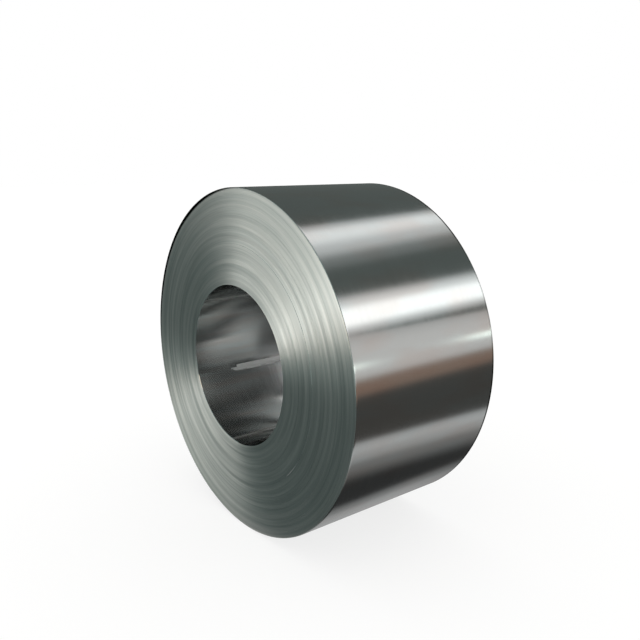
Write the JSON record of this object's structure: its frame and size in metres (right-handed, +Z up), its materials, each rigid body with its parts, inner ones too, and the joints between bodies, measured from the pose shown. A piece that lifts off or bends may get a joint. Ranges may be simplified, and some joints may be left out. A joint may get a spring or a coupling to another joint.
{
  "type": "stainless steel coil",
  "caption": "Coil of cold-rolled stainless steel strip on its side, a thick tight ring of wraps round an open eye, with rings of wrap edges on both ends.",
  "frame": {"origin": "on the floor, under the middle of the coil", "axes": "+Y along the coil's eye, from the front end to the back end; +Z up; +X across the coil"},
  "size_m": [1.0999, 0.576, 1.0999],
  "materials": {
    "stainless_strip": "bright annealed on the flats, satin on the slit edges"
  },
  "bodies": {
    "root": {"strip_coil": "stainless_strip"}
  },
  "joints": []
}
